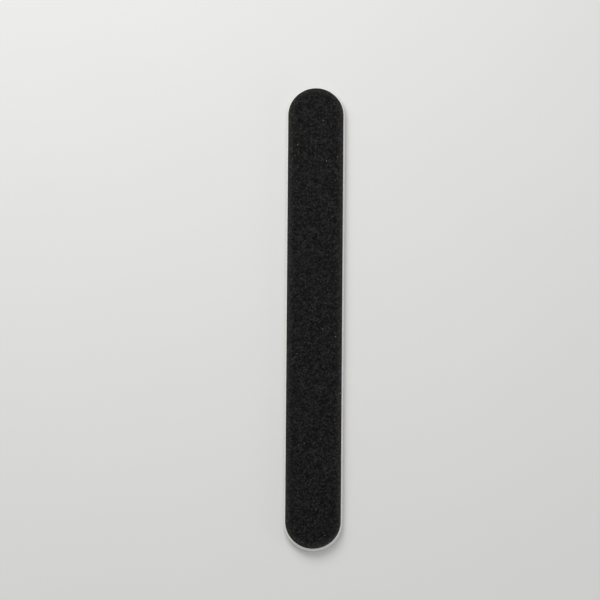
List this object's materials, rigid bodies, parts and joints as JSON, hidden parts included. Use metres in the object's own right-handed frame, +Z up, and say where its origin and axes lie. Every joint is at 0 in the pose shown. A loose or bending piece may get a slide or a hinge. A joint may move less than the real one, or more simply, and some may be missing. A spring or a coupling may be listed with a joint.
{
  "type": "emery board",
  "caption": "Flat round-ended nail file: coarse and medium abrasive sheets on foam pads, one on each side of a stiff plastic core, for shaping and smoothing nails by hand.",
  "frame": {"origin": "middle of the medium-grit face that the board lies on, the bottom centre of its box", "axes": "+Y along the board's length, +X across its width, +Z up through its thickness from the medium-grit face to the coarse-grit face"},
  "size_m": [0.0208, 0.1666, 0.0041],
  "materials": {
    "coarse_grain": "matte",
    "coarse_resin": "satin",
    "medium_grain": "matte",
    "medium_resin": "satin",
    "backing_paper": "matte",
    "glue_film": "satin",
    "foam": "matte",
    "core_plastic": "satin"
  },
  "bodies": {
    "root": {"coarse_grain_layer": "coarse_grain", "coarse_bond_coat": "coarse_resin", "coarse_backing_paper": "backing_paper", "coarse_sheet_adhesive": "glue_film", "upper_foam_pad": "foam", "upper_core_adhesive": "glue_film", "core_board": "core_plastic", "lower_core_adhesive": "glue_film", "lower_foam_pad": "foam", "medium_sheet_adhesive": "glue_film", "medium_backing_paper": "backing_paper", "medium_bond_coat": "medium_resin", "medium_grain_layer": "medium_grain"}
  },
  "joints": []
}
